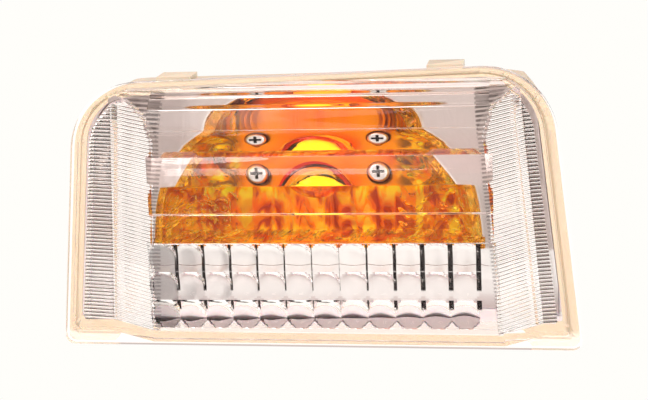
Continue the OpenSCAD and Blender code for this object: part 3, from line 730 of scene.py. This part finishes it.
# Screws: a rounded pan head with a cross recess, on a shank with a thread
screw = {
    "x": 15.8, "z": 17.2, "front": 7.8, "seat": 9.6, "end": 18.6, "head": 2.74, "shank": 1.2, "sharp": 35,
    # The head's rounding from the middle outwards: radius and depth behind its front
    "dome": ((1.7, 0.03), (2.25, 0.16), (2.55, 0.4), (2.7, 0.75)), "domeDepth": 1.1,
    "underEdge": {"depth": 0.12, "width": 0.1},
    "point": {"length": 1.2, "radius": 0.3, "blunt": 0.05}, "segments": 48,
    "recess": {"reach": 1.62, "half": 0.42, "depth": 0.95, "round": 0.16},
    # The painted shade in the cross recess: from which depths behind the front, where it ends, how near the
    # axis, and its colour
    "recessShade": {"from": (0.25, 0.4), "to": (1.3, 1.1), "within": (1.9, 1.7), "colour": "#2A2422"},
    "thread": {"Turns": 10.0, "Radius": 1.25, "Length": 7.6, "Wire": 0.17}, "threadGap": 0.35,
}


# Painted shade down in the cross recess, which draws the cross dark
def crossRecessShade(tree):
    place, recessShade, front = millimetres(tree), screw["recessShade"], screw["front"]
    along = addNode(tree, "ShaderNodeSeparateXYZ", {"Vector": place}).outputs["Y"]
    radius = fromAxis(tree, place, screw["x"], screw["z"])
    recess = mask(tree, (along, *(front + depth for depth in recessShade["from"])),
                  (along, *(front + depth for depth in recessShade["to"])), (radius, *recessShade["within"]))
    return recess, recessShade["colour"]


# A closed solid of revolution around a line along Y
def turned(name, points, x, z, segments):
    solid = bmesh.new()
    ends = [solid.verts.new((x, points[0][1], z)), solid.verts.new((x, points[-1][1], z))]
    rings = []
    for radius, y in points[1:-1]:
        rings.append([solid.verts.new((x + radius * math.cos(a), y, z + radius * math.sin(a)))
                      for a in (2 * math.pi * k / segments for k in range(segments))])
    for i in range(segments):
        solid.faces.new((ends[0], rings[0][i - 1], rings[0][i]))
        solid.faces.new((ends[1], rings[-1][i], rings[-1][i - 1]))
        for a, b in zip(rings, rings[1:]):
            solid.faces.new((a[i - 1], a[i], b[i], b[i - 1]))
    return asObject(name, solid)


def buildScrew(node, side):
    x, z, front, seat, end = screw["x"] * side, screw["z"], screw["front"], screw["seat"], screw["end"]
    head, shank = screw["head"], screw["shank"]
    point, edge, recess = screw["point"], screw["underEdge"], screw["recess"]
    points = [(0, front)] + [(radius, front + depth) for radius, depth in screw["dome"]]
    points += [(head, front + screw["domeDepth"]), (head, seat - edge["depth"])]
    points += [(head - edge["width"], seat), (shank, seat), (shank, end - point["length"])]
    points += [(point["radius"], end - point["blunt"]), (0, end)]
    body = turned(node, points, x, z, screw["segments"])
    reach, half = recess["reach"], recess["half"]
    arm = [(half, half), (half, reach), (-half, reach)]
    cross = []
    for _ in range(4):
        cross += [Vector(corner) for corner in arm]
        arm = [(-b, a) for a, b in arm]
    cross = [Vector((x, z)) + corner for corner in cross]
    cut = prism(softened(cross, recess["round"]), front - lens["past"], front + recess["depth"], alongY)
    body = combined(body, cut, "DIFFERENCE")
    body.data.transform(Matrix.Scale(mm, 4))
    smoothed(body, screw["sharp"])
    grown(body, turns, screw["thread"], (x, seat + screw["threadGap"], z), (-quarter, 0, 0), zinc)
    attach(body, "root")
    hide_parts(node)


# Zinc plate on steel: a bright, slightly cloudy metal, on which painted shade draws the cross recess dark
zinc = newMaterial("zinc-plated steel", cloudy("#F4F2F0", "#D6D4D4", 1.5, 0.02,
                                               {"Metallic": 1.0, "Roughness": 0.3}, crossRecessShade))
for node, side in (("cap_screw_left", -1), ("cap_screw_right", 1)):
    buildScrew(node, side)
print("screws built")

# Amber cap: clear orange in the middle, golden with deep swirls towards the ends, and drawn out into upright
# golden and brown streaks along its foot. The swirls and streaks are painted reflections from the metal bowl
amber = {
    "finish": {"IOR": 1.58, "Specular Tint": "#80746A"}, "shade": "#FFCF5A",
    "orange": "#FFC01E", "deep": "#FFAA12", "deepSize": 9, "deepAt": (0.4, 0.65),
    "wing": (19, 23), "foot": (3.0, -2.0), "footStrength": 0.85,
    # Painted reflections: olive and golden swirls on the wings, brown and golden streaks along the foot
    "swirl": {"size": 8, "stretch": (1, 2, 0.8), "twist": 2.2, "base": "#B8924A",
              "layers": (((0.45, 0.48), "#FFC01E"), ((0.54, 0.57), "#FFF468"))},
    "footStreaks": {"size": 3.2, "stretch": (1, 4, 2.2), "twist": 1.2, "base": "#CC7010",
              "layers": (((0.42, 0.45), "#FFC01E"), ((0.54, 0.56), "#FFF468"))},
    # The tube over the bulb, clear inside a red ring
    "tubeZ": 9.0, "tube": 7.8, "ring": (8.6, 10.2), "edge": 0.3, "clear": "#FFD024", "red": "#E8500C",
    # Painted shadow round the screws, where their heads sit on the cap
    "screwShadow": (3.4, 3.0), "screwShadowFrom": (6, 7), "shadow": "#8A3A08",
    "relief": {"depth": 2.0, "everywhere": 0.06, "foot": 0.25},
}


# Polycarbonate, tinted amber and moulded: it glows in the light behind it. Its golden and brown swirls and
# streaks are painted reflections and glints from the metal bowl behind it
def amberPolycarbonate(tree):
    place, edge, relief = millimetres(tree), amber["edge"], amber["relief"]
    x, y, z = addNode(tree, "ShaderNodeSeparateXYZ", {"Vector": place}).outputs
    out = addNode(tree, "ShaderNodeMath", {0: x}, operation="ABSOLUTE")
    wing, foot = mask(tree, (out, *amber["wing"])), mask(tree, (z, *amber["foot"]))
    # The painted reflections, each over a pattern of its own
    reflectionLooks = []
    for reflectionLook in (amber["swirl"], amber["footStreaks"]):
        pattern = blotches(tree, reflectionLook["size"], 1, reflectionLook["stretch"], reflectionLook["twist"])
        layers = [(mask(tree, (pattern, *at)), colour) for at, colour in reflectionLook["layers"]]
        reflectionLooks.append((pattern, painted(tree, reflectionLook["base"], *layers)))
    (swirl, paintedWingReflection), (footStreaks, streaks) = reflectionLooks
    radius = fromAxis(tree, place, 0, amber["tubeZ"])
    (ringFrom, ringTo), tubeEdge = amber["ring"], amber["tube"]
    deep = mask(tree, (blotches(tree, amber["deepSize"]), *amber["deepAt"]))
    ring = mask(tree, (radius, ringFrom - edge, ringFrom + edge), (radius, ringTo + edge, ringTo - edge))
    tube = mask(tree, (radius, tubeEdge + edge, tubeEdge - edge))
    # Painted shadow round each screw's head, on the cap
    fromScrew = fromAxis(tree, place, screw["x"], screw["z"])
    screwShadow = mask(tree, (fromScrew, *amber["screwShadow"]), (y, *amber["screwShadowFrom"]))
    colour = painted(tree, amber["orange"], (deep, amber["deep"]), (ring, amber["red"]),
                     (tube, amber["clear"]), (wing, paintedWingReflection),
                     (product(tree, foot, amber["footStrength"]), streaks), (screwShadow, amber["shadow"]))
    flowing = addNode(tree, "ShaderNodeMath", {0: wing, 1: relief["everywhere"]}, operation="ADD")
    footRelief = product(tree, foot, footStreaks, relief["foot"])
    height = addNode(tree, "ShaderNodeMath", {0: flowing, 1: swirl, 2: footRelief}, operation="MULTIPLY_ADD")
    normal = addNode(tree, "ShaderNodeBump", {"Height": height, "Distance": relief["depth"] * mm})
    return clearPlastic(tree, amber["shade"], {"Base Color": colour, "Normal": normal, **amber["finish"]})


dress(nodes["amber_cap"], newMaterial("amber polycarbonate", amberPolycarbonate))
print("amber cap dressed")

# Filament: a coil between the two leads
filament = {"y": 13.0, "z": 9.0, "reach": 2.6,
            "coil": {"Turns": 11.0, "Radius": 0.38, "Length": 5.2, "Wire": 0.09}}
# Drawn tungsten: a dull grey metal
tungsten = newMaterial("tungsten", cloudy("#9A9690", "#7A7672", 0.5, 0.01,
                                          {"Metallic": 1.0, "Roughness": 0.4}))
coil = asObject("filament", bmesh.new())
start = (-filament["reach"], filament["y"], filament["z"])
grown(coil, turns, filament["coil"], start, (0, quarter, 0), tungsten)
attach(coil, "root")
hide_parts("bulb_filament")
print("filament wound")

# Bulb holder: black nylon, with ribs on the back of its flange for the fingers that turn it
holder = {"y": 31.5, "z": 9.0, "sharp": 30,
          "ribs": {"Count": 28, "Ring": 10.9, "Rib": 1.5, "Half": 0.4, "Shortest": 0.95, "Seed": 4}}
# Moulded nylon: nearly black and half matt
nylon = newMaterial("black nylon", cloudy("#1E1E20", "#151517", 6, 0.03, {"Roughness": 0.5}))
holderObject = mergedCopy("holder_body", "bulb_holder")
smoothed(holderObject, holder["sharp"])
grown(holderObject, ribs, holder["ribs"], (0, holder["y"], holder["z"]), (quarter, 0, 0), nylon)
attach(holderObject, "root")
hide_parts("holder_body")
print("holder built")


# Blown glass, seen through the amber, with a painted white glow that makes it look lit
def bulbGlass(tree):
    return addNode(tree, "ShaderNodeBsdfPrincipled", {"Base Color": "#FFFFFF", "Roughness": 0.2,
                                                      "Emission Color": "#FFFFF0", "Emission Strength": 1.3})


# Moulded rubber: black and matt. Stamped brass: a clean yellow metal
rubber = newMaterial("soft rubber", cloudy("#141414", "#0C0C0C", 4, 0.03, {"Roughness": 0.75}))
brass = newMaterial("pressed brass", cloudy("#DDBA70", "#C8A258", 3, 0.01,
                                            {"Metallic": 1.0, "Roughness": 0.3}))
glass = newMaterial("bulb glass", bulbGlass)
for name, material in (("bulb_envelope", glass), ("bulb_lead_left", tungsten), ("bulb_lead_right", tungsten),
                       ("vent_cap", nylon), ("holder_seal", rubber), ("terminal_left", brass),
                       ("terminal_right", brass)):
    dress(nodes[name], material)
print("small pieces dressed")

# The camera stands where the photograph was taken from: yaw to the right, pitch above, roll
camera = {"yaw": 9.283, "pitch": 13.7, "roll": -2.617, "distance": 400.27, "target": (3.282, -4.7, 3.565),
          "lens": 88.9, "sensor": 36, "nearest": 0.01}
yaw, pitch, roll = (math.radians(camera[key]) for key in ("yaw", "pitch", "roll"))
back = Vector((math.sin(yaw) * math.cos(pitch), -math.cos(yaw) * math.cos(pitch), math.sin(pitch)))
right = (-back).cross(Vector((0, 0, 1))).normalized()
up = right.cross(-back)
rightRolled = right * math.cos(roll) + up * math.sin(roll)
upRolled = up * math.cos(roll) - right * math.sin(roll)
cameraData = bpy.data.cameras.new("camera")
cameraData.lens = camera["lens"]
cameraData.sensor_width = camera["sensor"]
cameraData.clip_start = camera["nearest"]
cameraObject = bpy.data.objects.new("camera", cameraData)
bpy.context.scene.collection.objects.link(cameraObject)
stand = (Vector(camera["target"]) + back * camera["distance"]) * mm
aim = Matrix((rightRolled, upRolled, back)).transposed().to_4x4()
cameraObject.matrix_world = Matrix.Translation(stand) @ aim
bpy.context.scene.camera = cameraObject

# White paper below the lamp, soft light all round, and two lamps. Sizes here are in metres
studio = {
    "paper": "#FFFEFA", "paperSize": 6, "paperGap": 0.0002, "paperGlow": 1.15, "tint": "#F4E6E2",
    "side": 0.72, "front": 1.15, "frontFrom": 0.1, "frontFull": 0.8,
    "overhead": 1.3, "topFrom": 0.3, "topFull": 0.8,
    "lamps": (("key", (-0.35, -0.55, 0.75), 0.5, 4), ("fill", (0.6, -0.5, 0.4), 0.6, 2)),
    "bounces": {"max_bounces": 40, "transmission_bounces": 32, "transparent_max_bounces": 32,
                "glossy_bounces": 12, "diffuse_bounces": 6},
}


# White paper: matt where it lights the lamp, and plain white where the camera, the lens and the metal see it
def whitePaper(tree):
    path = addNode(tree, "ShaderNodeLightPath").outputs
    matt = addNode(tree, "ShaderNodeBsdfPrincipled", {"Base Color": studio["paper"], "Roughness": 0.9})
    glow = addNode(tree, "ShaderNodeMapRange",
                   {"Value": path["Is Camera Ray"], "To Min": studio["paperGlow"], "To Max": 1.0})
    white = addNode(tree, "ShaderNodeEmission", {"Color": studio["paper"], "Strength": glow})
    seen = path["Is Camera Ray"]
    for ray in ("Is Transmission Ray", "Is Glossy Ray"):
        seen = addNode(tree, "ShaderNodeMath", {0: seen, 1: path[ray]}, operation="MAXIMUM")
    return addNode(tree, "ShaderNodeMixShader", {"Fac": seen, 1: matt, 2: white})


floorHeight = sizes["frame"][0][2] - studio["paperGap"]
bpy.ops.mesh.primitive_plane_add(size=studio["paperSize"], location=(0, 0, floorHeight))
floor = bpy.context.object
floor.name = "floor"
dress(floor, newMaterial("white paper", whitePaper))
floor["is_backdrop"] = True

world = bpy.data.worlds.new("studio")
bpy.context.scene.world = world
world.use_nodes = True
tree = world.node_tree
tree.nodes.clear()
way = addNode(tree, "ShaderNodeTexCoord").outputs["Generated"]
axes = addNode(tree, "ShaderNodeSeparateXYZ", {"Vector": way}).outputs
fromFront = addNode(tree, "ShaderNodeMapRange",
                    {"Value": axes["Y"], "From Min": -studio["frontFrom"], "From Max": -studio["frontFull"],
                     "To Min": studio["side"], "To Max": studio["front"]}, interpolation_type="SMOOTHSTEP")
fromTop = addNode(tree, "ShaderNodeMapRange",
                  {"Value": axes["Z"], "From Min": studio["topFrom"], "From Max": studio["topFull"],
                   "To Min": studio["side"], "To Max": studio["overhead"]}, interpolation_type="SMOOTHSTEP")
level = addNode(tree, "ShaderNodeMath", {0: fromFront, 1: fromTop}, operation="MAXIMUM")
ambient = addNode(tree, "ShaderNodeBackground", {"Color": studio["tint"], "Strength": level})
backdrop = addNode(tree, "ShaderNodeBackground", {"Color": studio["paper"], "Strength": 1.0})
path = addNode(tree, "ShaderNodeLightPath").outputs
mixed = addNode(tree, "ShaderNodeMixShader", {"Fac": path["Is Camera Ray"], 1: ambient, 2: backdrop})
addNode(tree, "ShaderNodeOutputWorld", {"Surface": mixed})

for name, place, size, power in studio["lamps"]:
    lamp = bpy.data.lights.new(name, "AREA")
    lamp.size = size
    lamp.energy = power
    lampObject = bpy.data.objects.new(name, lamp)
    lampObject.location = place
    lampObject.rotation_euler = Vector(place).to_track_quat("Z", "Y").to_euler()
    bpy.context.scene.collection.objects.link(lampObject)

for name, count in studio["bounces"].items():
    setattr(bpy.context.scene.cycles, name, count)
bpy.context.scene.view_settings.view_transform = "Standard"
print("camera, paper and lights placed")

sizes["visual"] = [list(corner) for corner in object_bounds()]
